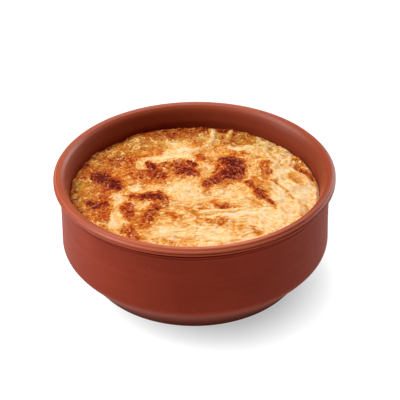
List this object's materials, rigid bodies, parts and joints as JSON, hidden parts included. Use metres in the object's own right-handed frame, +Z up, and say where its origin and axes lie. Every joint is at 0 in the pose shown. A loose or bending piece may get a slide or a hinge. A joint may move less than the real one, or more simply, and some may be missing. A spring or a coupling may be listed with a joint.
{
  "type": "dish of om ali",
  "caption": "Round single-portion clay bowl with a beaded lip and turned-in base, filled to just under the lip with baked pastry pudding whose skin is low folds, lumps and browned patches.",
  "frame": {"origin": "centre of the flat base, on the surface the bowl stands on", "axes": "+Z up along the bowl's axis, -Y towards the front that the picture shows, +X to its right"},
  "size_m": [0.124, 0.124, 0.0503],
  "materials": {
    "terracotta": "unglazed red-brown clay, smooth and faintly satin",
    "baked_cream": "soft baked cream skin with glossy browned patches"
  },
  "bodies": {
    "root": {"bowl": "terracotta", "om_ali": "baked_cream"}
  },
  "joints": []
}
